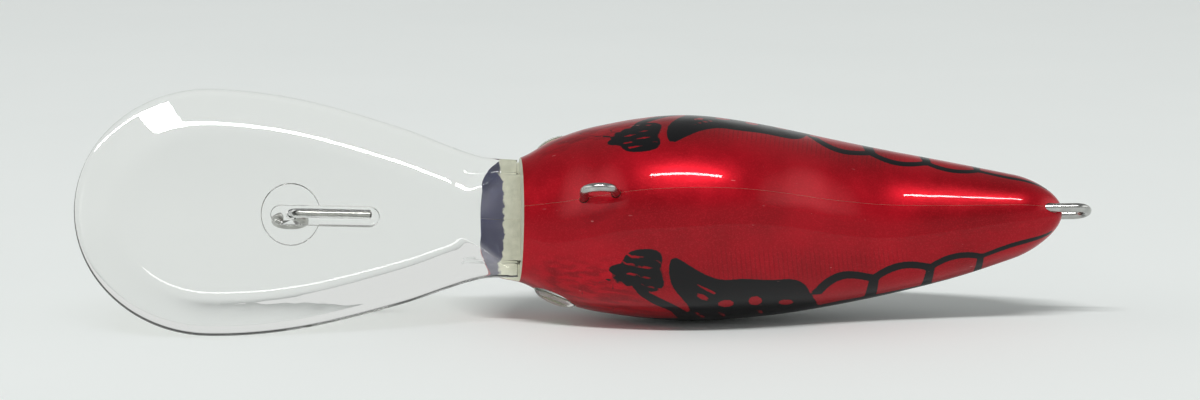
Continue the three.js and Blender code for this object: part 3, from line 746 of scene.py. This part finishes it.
HEAD_BLOCK = [
    (17.4, 35), (20.4, 33), (22, 36), (21.6, 47), (22.3, 58), (20.4, 64), (18.8, 57), (17.6, 60), (16.6, 51),
]
HEAD_TIP = [(15, 46), (17.2, 41), (18, 50), (17, 53)]
HEAD_SLITS = [
    ([(18.1, 38), (21.2, 40)], 0.16), ([(17.8, 43), (21, 46)], 0.19), ([(17.8, 49), (20.9, 53)], 0.17),
    ([(19.4, 57), (21, 59)], 0.14),
]
CLAW = [
    (23, 37), (24.6, 42), (26.6, 49), (28.8, 54), (31.5, 53), (34.4, 55), (37.4, 54), (38.9, 59),
    (39.6, 70), (40.6, 83), (40, 100), (30, 104), (25.6, 98), (24.4, 86), (25.2, 76), (24, 66),
    (22.9, 57), (22.5, 46),
]
ARM = [(18.2, 55), (19.6, 64), (21.4, 71), (23.4, 78), (24.6, 90)]
ARM_WIDTHS = [0.25, 0.55, 0.75, 0.7, 0.9]
CLAW_WINDOWS = [
    (29.4, 73, 0.95, 0.75, -18), (32.9, 72, 0.8, 0.95, 12), (36.6, 76, 0.9, 0.6, -8),
    (26.6, 66, 0.85, 0.4, 40),
]
CLAW_SLASHES = [
    ([(25.6, 80), (27, 92)], [0.12, 0.3]), ([(28.8, 84), (29.8, 95)], [0.28, 0.1]),
    ([(33.4, 84), (34.2, 95)], [0.3, 0.12]), ([(25.4, 55), (28, 63)], [0.1, 0.2]),
]
# Each scallop: where it starts and ends, and the angles of its start, its crest and its end
SCALLOPS = [
    (40.4, 47.2, 68, 54, 61), (47.2, 53.9, 61, 51.5, 60), (53.9, 60, 60, 52, 61), (60, 68.4, 61, 56, 72),
]
SCALLOP_HALF_WIDTHS = [0.6, 0.54, 0.46, 0.34]
TAIL_BARS = [
    ([(47.2, 60), (46.8, 92)], [0.6, 0.75]), ([(54, 60), (53.6, 94)], [0.5, 0.65]),
    ([(60, 62), (59.8, 98)], [0.4, 0.5]),
]
BACK_EDGE = [
    (0, 150), (12, 136), (17, 114), (20, 98), (26, 91), (38, 89), (44, 85), (56, 92), (66, 110), (70, 125),
]
FEELERS = [
    ([(17, 50), (14.4, 57), (12.6, 66), (11.8, 78)], [0.2, 0.16, 0.12, 0.05]),
    ([(16.9, 52), (15.8, 62), (15.6, 76), (16.4, 92)], [0.18, 0.14, 0.1, 0.05]),
]


def marking_at(x, angle):
    """Signed distance, in millimetres, to the black marking: below zero where it is black."""
    p = np.stack([x, np.radians(angle) * half_width_at(np.clip(x, 0, BODY_LENGTH))], axis=1)
    head = np.minimum(shape(p, HEAD_BLOCK), shape(p, HEAD_TIP))
    for points, width in HEAD_SLITS:
        head = np.maximum(head, -stroke(p, points, [width, width * 0.6]))
    claw = shape(p, CLAW)
    for x0, w0, length, height, tilt in CLAW_WINDOWS:
        claw = np.maximum(claw, -spot(p, x0, w0, length, height, tilt))
    for points, widths in CLAW_SLASHES:
        claw = np.maximum(claw, -stroke(p, points, widths))
    marked = np.minimum(head, claw)
    marked = np.minimum(marked, stroke(p, ARM, ARM_WIDTHS))
    for (start, end, first, crest, last), width in zip(SCALLOPS, SCALLOP_HALF_WIDTHS):
        arc = []
        for t in np.linspace(0, 1, 13):
            level = first + (last - first) * t
            arc.append((start + (end - start) * t, level - (level - crest) * math.sin(math.pi * t) ** 0.8))
        marked = np.minimum(marked, stroke(p, arc, [width] * len(arc)))
    for points, widths in TAIL_BARS + FEELERS:
        marked = np.minimum(marked, stroke(p, points, widths))
    edge = profile(BACK_EDGE)(np.clip(x, 0, BODY_LENGTH))
    back = np.radians(edge - angle) * half_width_at(np.clip(x, 0, BODY_LENGTH))
    return np.minimum(marked, back)


def mark(made, shift):
    """Writes the marking, and the angle round the section, onto a shell's vertices for its paint to read.
    The stencil lies shifted by an angle in degrees."""
    count = len(made.data.vertices)
    co = np.empty(count * 3)
    made.data.vertices.foreach_get("co", co)
    x, y, z = (co.reshape(-1, 3) / MM).T
    half, level, rise, drop = body_section(np.clip(x, 0.05, BODY_LENGTH - 0.05))
    height = np.where(z > level, (z - level) / np.maximum(rise, 1e-3), (z - level) / np.maximum(drop, 1e-3))
    angle = np.degrees(np.arctan2(height, np.abs(y) / np.maximum(half, 1e-3))) + 90
    value = marking_at(x, angle + shift)
    layer = made.data.attributes.new("marking", "FLOAT", "POINT")
    layer.data.foreach_set("value", np.clip(value, -3, 3))
    layer = made.data.attributes.new("round", "FLOAT", "POINT")
    layer.data.foreach_set("value", angle)


def sort_faces(made):
    """Paint outside, primer on the notch under the snout, bare plastic inside: material 0, 1 and 2."""
    count = len(made.data.polygons)
    centre, normal = np.empty(count * 3), np.empty(count * 3)
    made.data.polygons.foreach_get("center", centre)
    made.data.polygons.foreach_get("normal", normal)
    centre, normal = centre.reshape(-1, 3) / MM, normal.reshape(-1, 3)
    x = centre[:, 0]
    half, level, rise, drop = body_section(np.clip(x, 0.02, BODY_LENGTH - 0.02))
    above = centre[:, 2] > level
    side_reach = centre[:, 1] / np.maximum(half, 1e-3)
    level_reach = (centre[:, 2] - level) / np.maximum(np.where(above, rise, drop), 1e-3)
    reach = np.hypot(side_reach, level_reach)
    outside = reach > 0.985
    seam = (np.abs(centre[:, 1]) < 0.05) & (np.abs(normal[:, 1]) > 0.99)
    turned = np.array(LIP_IN_LURE.to_3x3().inverted())
    in_lip = (centre - np.array([NECK_X, 0, 0])) @ turned.T
    lip_normal = normal @ turned.T
    notch = (np.abs(in_lip[:, 2] - LIP_FACE - NOTCH_AIR) < 0.03) & (lip_normal[:, 2] < -0.9)
    notch |= (np.abs(in_lip[:, 0] - (CHIN_FRONT - NECK_X)) < 0.03) & (lip_normal[:, 0] < -0.9)
    index = np.where(notch, 1, np.where(outside & ~seam, 0, 2))
    made.data.polygons.foreach_set("material_index", index.astype(np.int32))


def body_shells(paint, primer, plastic):
    starboard = body_solid()
    starboard.name = "shell_starboard"
    port = copied(starboard, "shell_port")
    boolean(starboard, [block((-FAR, SEAM_HALF_GAP, -FAR), (FAR, FAR, FAR))], "INTERSECT")
    boolean(port, [block((-FAR, -FAR, -FAR), (FAR, -SEAM_HALF_GAP, FAR))], "INTERSECT")
    for x, z in DOWELS:
        boolean(port, [rod(DOWEL_RADIUS, (x, DOWEL_ROOT, z), DOWEL_REACH, 1)], "UNION")
        hole = rod(DOWEL_RADIUS + FIT_AIR, (x, DOWEL_ROOT, z), DOWEL_REACH + FIT_AIR, 1)
        boolean(starboard, [hole], "DIFFERENCE")
    for made, node, shift in (
        (starboard, "body_shell_starboard", 0), (port, "body_shell_port", PORT_STENCIL_SHIFT),
    ):
        smooth(made, 30)
        mark(made, shift)
        finished(made, [paint, primer, plastic], [node])
        sort_faces(made)


# ---------- materials ----------


class Nodes:
    """A material's node tree, with short ways to add nodes and link them."""

    def __init__(self, name):
        self.material = bpy.data.materials.new(name)
        self.material.use_nodes = True
        self.tree = self.material.node_tree
        self.shader = self.tree.nodes["Principled BSDF"]
        self.output = self.tree.nodes["Material Output"]
        self.place = self.add("ShaderNodeTexCoord").outputs["Object"]

    def add(self, kind, values=None, links=None, **settings):
        node = self.tree.nodes.new(kind)
        for key, value in settings.items():
            setattr(node, key, value)
        for key, value in (values or {}).items():
            node.inputs[key].default_value = value
        for key, source in (links or {}).items():
            self.tree.links.new(source, node.inputs[key])
        return node

    def set(self, **values):
        for key, value in values.items():
            name = key.replace("_", " ")
            if isinstance(value, bpy.types.NodeSocket):
                self.tree.links.new(value, self.shader.inputs[name])
            else:
                self.shader.inputs[name].default_value = value

    def scaled(self, *size):
        """Object coordinates in millimetres, each stretched by a factor."""
        node = self.add(
            "ShaderNodeVectorMath", {1: [1000 * s for s in size]}, {0: self.place}, operation="MULTIPLY",
        )
        return node.outputs["Vector"]

    def noise(self, scale, detail=2, roughness=0.5, vector=None):
        node = self.add(
            "ShaderNodeTexNoise", {"Scale": scale, "Detail": detail, "Roughness": roughness},
            {"Vector": vector or self.scaled(1, 1, 1)},
        )
        return node.outputs["Fac"]

    def ramp(self, value, low, high, start=0.0, end=1.0):
        node = self.add(
            "ShaderNodeMapRange", {"From Min": low, "From Max": high, "To Min": start, "To Max": end},
            {"Value": value},
        )
        return node.outputs["Result"]

    def math(self, kind, a, b=0.0):
        node = self.add("ShaderNodeMath", operation=kind)
        for i, value in enumerate((a, b)):
            if isinstance(value, bpy.types.NodeSocket):
                self.tree.links.new(value, node.inputs[i])
            else:
                node.inputs[i].default_value = value
        return node.outputs[0]

    def mix(self, share, first, second):
        """A blend of two colours, each a socket or three numbers."""
        node = self.add("ShaderNodeMix", data_type="RGBA")
        for i, value in ((0, share), (6, first), (7, second)):
            if isinstance(value, bpy.types.NodeSocket):
                self.tree.links.new(value, node.inputs[i])
            elif i == 0:
                node.inputs[i].default_value = value
            else:
                node.inputs[i].default_value = (*value, 1)
        return node.outputs[2]

    def bump(self, height, distance, strength=1.0):
        values = {"Strength": strength, "Distance": distance * MM}
        return self.add("ShaderNodeBump", values, {"Height": height}).outputs["Normal"]

    def parts(self):
        node = self.add("ShaderNodeSeparateXYZ", links={0: self.scaled(1, 1, 1)})
        return node.outputs[0], node.outputs[1], node.outputs[2]


def candy_paint():
    """Candy red over a bright base, with the black marking, fine flake, painted shade lines for moulded
    relief, scratches and a clear coat.
    """
    n = Nodes("candy_red_paint")
    marking = n.add("ShaderNodeAttribute", attribute_name="marking").outputs["Fac"]
    angle = n.add("ShaderNodeAttribute", attribute_name="round").outputs["Fac"]
    edge = n.math("ADD", marking, n.ramp(n.noise(3.5, 3), 0, 1, -0.06, 0.06))
    black = n.ramp(edge, -0.05, 0.05, 1, 0)
    broad = n.ramp(n.noise(0.09, 2), 0.3, 0.7)
    red = n.mix(broad, CANDY_RED, CANDY_DEEP)
    x, _, _ = n.parts()
    # painted shade: fine slanted dark lines stand in for the shade of a moulded hatch, fading in along the
    # lower flank
    slant = n.math("ADD", n.math("MULTIPLY", x, 1.8), n.math("MULTIPLY", angle, -0.035))
    hatch_shade = n.math("ABSOLUTE", n.math("SUBTRACT", n.math("FRACT", slant), 0.5))
    hatch_shade = n.ramp(hatch_shade, 0.05, 0.2, 1, 0)
    where = n.math("MULTIPLY", n.ramp(x, 24, 29), n.ramp(x, 54, 48))
    where = n.math("MULTIPLY", where, n.math("MULTIPLY", n.ramp(angle, 30, 38), n.ramp(angle, 60, 52)))
    red = n.mix(n.math("MULTIPLY", n.math("MULTIPLY", hatch_shade, where), 0.5), red, (0.17, 0.001, 0.005))
    # painted shade: dark fan lines behind the head stand in for the shade of raised gill ridges
    ridge_shade = n.ramp(n.noise(1, 2, 0.5, n.scaled(0.08, 1.5, 1.5)), 0.44, 0.6)
    behind_head = n.math("MULTIPLY", n.ramp(x, 5.5, 9), n.ramp(x, 27, 19))
    behind_head = n.math("MULTIPLY", behind_head, n.ramp(angle, 34, 50))
    red = n.mix(n.math("MULTIPLY", n.math("MULTIPLY", ridge_shade, behind_head), 0.55), red, (0.12, 0.001, 0.004))
    flake = n.add("ShaderNodeTexVoronoi", {"Scale": 9.0}, {"Vector": n.scaled(1, 1, 1)}).outputs["Color"]
    sparkle = n.add("ShaderNodeSeparateColor", links={0: flake}).outputs[0]
    red = n.mix(n.ramp(sparkle, 0.55, 1, 0, 0.2), red, (0.8, 0.02, 0.04))
    fleck = n.ramp(n.noise(1.1, 4, 0.7), 0.735, 0.76)
    colour = n.mix(black, red, MARKING_BLACK)
    colour = n.mix(n.math("MULTIPLY", fleck, 0.55), colour, (0.5, 0.28, 0.28))
    # a few pale scratches, longest along the lure
    scratch = n.ramp(n.noise(1, 2, 0.4, n.scaled(0.14, 2.6, 2.6)), 0.745, 0.76)
    worn = n.math("MULTIPLY", scratch, n.ramp(n.noise(0.22, 1), 0.5, 0.6))
    colour = n.mix(n.math("MULTIPLY", worn, 0.45), colour, (0.75, 0.3, 0.3))
    metal = n.ramp(black, 0, 1, 0.55, 0)
    turned = n.add(
        "ShaderNodeBump", {"Strength": 0.18, "Distance": 0.02 * MM}, {"Height": sparkle},
    ).outputs["Normal"]
    n.set(
        Base_Color=colour, Metallic=metal, Normal=turned,
        Roughness=n.ramp(n.noise(0.5, 3), 0.3, 0.7, 0.3, 0.4),
        Coat_Weight=0.42, Coat_IOR=1.45, Coat_Roughness=n.ramp(n.noise(0.35, 4), 0.35, 0.75, 0.015, 0.06),
        Coat_Normal=n.bump(n.noise(0.4, 2), 0.012, 0.6), Specular_IOR_Level=0.1,
    )
    return n.material


def neck_primer():
    """The notch under the snout: a navy band along its front edge and cream primer behind."""
    n = Nodes("neck_primer")
    x, y, _ = n.parts()
    wobble = n.ramp(n.noise(0.7, 3), 0.3, 0.7, -0.35, 0.35)
    reach = n.math("MULTIPLY", n.math("POWER", n.math("ABSOLUTE", y), 2.0), 0.012)
    band = n.math("ADD", n.math("ADD", x, wobble), reach)
    dark = n.ramp(band, 2.8, 2.95, 1, 0)
    # painted shade: the navy is darker towards starboard
    shade = n.ramp(y, -7, 7)
    navy = n.mix(shade, (0.009, 0.012, 0.07), (0.004, 0.005, 0.032))
    navy = n.mix(n.ramp(n.noise(0.9, 3), 0.35, 0.65), navy, (0.005, 0.007, 0.045))
    cream = n.mix(n.ramp(n.noise(1.2, 4), 0.3, 0.7), (0.66, 0.66, 0.54), (0.52, 0.53, 0.42))
    n.set(Base_Color=n.mix(dark, cream, navy), Roughness=n.ramp(dark, 0, 1, 0.5, 0.35), Coat_Weight=0.15)
    n.set(Normal=n.bump(n.noise(2, 3), 0.02, 0.5))
    return n.material


def plastic(name, colour, variation, roughness, seen_through):
    """Bare plastic. variation is how much darker its patches are, seen_through how much light sinks in."""
    n = Nodes(name)
    other = tuple(c * (1 - variation) for c in colour)
    n.set(
        Base_Color=n.mix(n.ramp(n.noise(0.8, 4), 0.3, 0.7), colour, other),
        Roughness=n.ramp(n.noise(1.7, 3), 0.3, 0.7, roughness * 0.8, roughness * 1.25),
        Subsurface_Weight=seen_through, Normal=n.bump(n.noise(3, 3), 0.01, 0.5),
    )
    n.shader.inputs["Subsurface Radius"].default_value = (0.002, 0.002, 0.0015)
    return n.material


def metal(name, colour, roughness, stretch, depth):
    """Metal with fine marks, drawn out along the axes whose stretch is small."""
    n = Nodes(name)
    marks = n.noise(6, 4, 0.6, n.scaled(*stretch))
    stain = n.ramp(n.noise(0.9, 4), 0.35, 0.7)
    darker = tuple(c * 0.72 for c in colour)
    n.set(
        Base_Color=n.mix(stain, colour, darker), Metallic=1.0,
        Roughness=n.ramp(marks, 0.3, 0.7, roughness * 0.75, roughness * 1.3),
        Normal=n.bump(marks, depth, 0.6),
    )
    return n.material


def clear_plastic(name, tint, wear=1.0):
    """Clear plastic with faint scuffs. Light on its way to a surface behind it goes straight through."""
    n = Nodes(name)
    scuff = n.ramp(n.noise(1, 4, 0.6, n.scaled(0.35, 1.4, 1.4)), 0.62, 0.78, 0, 0.09 * wear)
    n.set(
        Base_Color=(*tint, 1), Transmission_Weight=1.0, IOR=1.54, Roughness=scuff,
        Normal=n.bump(n.noise(0.16, 2), 0.02 * wear, 0.35),
    )
    clear = n.add("ShaderNodeBsdfTransparent", {"Color": (*[c * 0.93 for c in tint], 1)})
    path = n.add("ShaderNodeLightPath")
    seen = n.shader.outputs[0]
    for ray in ("Is Diffuse Ray", "Is Shadow Ray"):
        both = n.add("ShaderNodeMixShader")
        n.tree.links.new(path.outputs[ray], both.inputs[0])
        n.tree.links.new(seen, both.inputs[1])
        n.tree.links.new(clear.outputs[0], both.inputs[2])
        seen = both.outputs[0]
    n.tree.links.new(seen, n.output.inputs["Surface"])
    return n.material


def iris_foil():
    """Pearl lime foil with a black pupil, a darker ring and a dark rim."""
    n = Nodes("eye_foil")
    x, y, _ = n.parts()
    across = n.math("SQRT", n.math("ADD", n.math("MULTIPLY", x, x), n.math("MULTIPLY", y, y)))
    pearl = n.mix(n.ramp(n.noise(1.4, 3), 0.3, 0.7), (0.62, 0.72, 0.32), (0.80, 0.84, 0.62))
    ring = n.math("MULTIPLY", n.ramp(across, 1.72, 1.78), n.ramp(across, 1.98, 1.92))
    colour = n.mix(n.math("MULTIPLY", ring, 0.5), pearl, (0.3, 0.34, 0.12))
    colour = n.mix(n.ramp(across, 2.42, 2.5), colour, (0.03, 0.03, 0.03))
    colour = n.mix(n.ramp(across, 1.22, 1.18), colour, (0.004, 0.004, 0.005))
    n.set(Base_Color=colour, Metallic=0.35, Roughness=0.32, Normal=n.bump(n.noise(4, 2), 0.01, 0.5))
    return n.material


def floor_paper():
    n = Nodes("floor_paper")
    n.set(Base_Color=n.mix(n.ramp(n.noise(0.02, 2), 0.3, 0.7), FLOOR_COLOUR, FLOOR_COLOUR_2), Roughness=0.75)
    n.set(Specular_IOR_Level=0.2)
    return n.material


# ---------- the inner pieces, carried over from the frame ----------


def dress_inner_pieces():
    steel = metal("bearing_steel", (0.62, 0.63, 0.64), 0.14, (1, 1, 1), 0.003)
    brass = metal("turned_brass", (0.66, 0.46, 0.17), 0.3, (3, 0.3, 0.3), 0.01)
    wire = metal("pin_steel", (0.52, 0.52, 0.51), 0.3, (0.3, 3, 0.3), 0.006)
    milky = plastic("milky_tube", (0.78, 0.80, 0.74), 0.08, 0.4, 0.3)
    dressed = {
        "lip_pin": wire, "rattle_tube": milky, "rattle_end_disc_front": brass, "rattle_end_disc_rear": brass,
        "rattle_ball_1": steel, "rattle_ball_2": steel, "rattle_ball_3": steel, "throat_weight": brass,
        "ballast_ball_front": steel, "ballast_ball_rear": steel,
    }
    for name, material in dressed.items():
        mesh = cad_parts[name].data
        mesh.materials.clear()
        mesh.materials.append(material)


# ---------- floor, light and camera ----------


def floor():
    size = FLOOR_HALF_SIZE
    corners = [(-size, -size, 0), (size, -size, 0), (size, size, 0), (-size, size, 0)]
    mesh = bpy.data.meshes.new("floor")
    mesh.from_pydata(corners, [], [(0, 1, 2, 3)])
    made = bpy.data.objects.new("floor", mesh)
    made.data.materials.append(floor_paper())
    bpy.context.scene.collection.objects.link(made)


def area_light(name, towards, distance, size, power):
    """A rectangular lamp that faces the lure from a direction, long along its own x."""
    data = bpy.data.lights.new(name, "AREA")
    data.shape = "RECTANGLE"
    data.size, data.size_y = size
    data.energy = power
    made = bpy.data.objects.new(name, data)
    away = Vector(towards).normalized()
    made.location = away * distance
    made.rotation_euler = away.to_track_quat("Z", "Y").to_euler()
    bpy.context.scene.collection.objects.link(made)


def room_share(tree, socket, low, high, at_low, at_high):
    """A smooth step of one number of the room's direction."""
    share = tree.nodes.new("ShaderNodeMapRange")
    share.interpolation_type = "SMOOTHSTEP"
    for key, value in {"From Min": low, "From Max": high, "To Min": at_low, "To Max": at_high}.items():
        share.inputs[key].default_value = value
    tree.links.new(socket, share.inputs["Value"])
    return share.outputs["Result"]


def room_maths(tree, operation, a, b=None):
    node = tree.nodes.new("ShaderNodeMath")
    node.operation = operation
    for socket, value in zip(node.inputs, (a, b)):
        if value is not None:
            tree.links.new(value, socket)
    return node.outputs[0]


def studio_world():
    """Soft white walls past both ends of the lure, pale paper all round low down, and a dim room above."""
    world = bpy.data.worlds.new("studio")
    world.use_nodes = True
    tree = world.node_tree
    shade = tree.nodes["Background"]
    place = tree.nodes.new("ShaderNodeTexCoord")
    split = tree.nodes.new("ShaderNodeSeparateXYZ")
    tree.links.new(place.outputs["Generated"], split.inputs[0])
    across, behind, height = split.outputs
    aside = room_maths(tree, "ABSOLUTE", across)
    walls = room_share(tree, aside, *WALLS_BEGIN, 0, ROOM_BRIGHT)
    walls = room_maths(tree, "MULTIPLY", walls, room_share(tree, height, *WALLS_RISE, 0, 1))
    low = room_share(tree, height, *PAPER_ENDS, PAPER, ROOM_DIM)
    paper = room_maths(tree, "MULTIPLY", low, room_share(tree, behind, *PAPER_BEGINS, PAPER_IN_FRONT, 1))
    tree.links.new(room_maths(tree, "MAXIMUM", walls, paper), shade.inputs["Strength"])
    shade.inputs["Color"].default_value = (0.98, 1.0, 0.99, 1)
    bpy.context.scene.world = world


def lights():
    area_light("strip", STRIP_TOWARDS, STRIP_DISTANCE, STRIP_SIZE, STRIP_POWER)
    studio_world()


def camera():
    data = bpy.data.cameras.new("camera")
    data.lens, data.sensor_width = LENS, SENSOR_WIDTH
    data.clip_end = 20
    made = bpy.data.objects.new("camera", data)
    away = Vector((0, -math.cos(CAMERA_ELEVATION), math.sin(CAMERA_ELEVATION)))
    made.location = Vector(CAMERA_TARGET) + away * CAMERA_DISTANCE
    made.rotation_euler = away.to_track_quat("Z", "Y").to_euler()
    bpy.context.scene.collection.objects.link(made)
    bpy.context.scene.camera = made


# ---------- the scene ----------

clear = clear_plastic("clear_polycarbonate", (0.992, 0.992, 0.978))
diving_lip(clear)
body_shells(candy_paint(), neck_primer(), plastic("raw_shell", (0.72, 0.68, 0.55), 0.1, 0.5, 0.1))
drawn_wire = metal("drawn_wire", (0.56, 0.56, 0.54), 0.22, (0.5, 2.5, 0.5), 0.006)
finished(smooth(line_tie("wire_line_tie", 0), 40), drawn_wire, ["line_tie"])
finished(smooth(belly_hanger("wire_belly_hanger", 0), 40), drawn_wire, ["belly_hook_hanger"])
finished(smooth(tail_hanger("wire_tail_hanger", 0), 40), drawn_wire, ["tail_hook_hanger"])
foil = iris_foil()
lens = clear_plastic("eye_lens", (0.985, 0.99, 0.98), 0.3)
for side, side_name in ((1, "starboard"), (-1, "port")):
    eye_pieces(side, side_name, foil, lens)
dress_inner_pieces()
floor()
lights()
camera()
bpy.context.scene.view_settings.view_transform = "Standard"
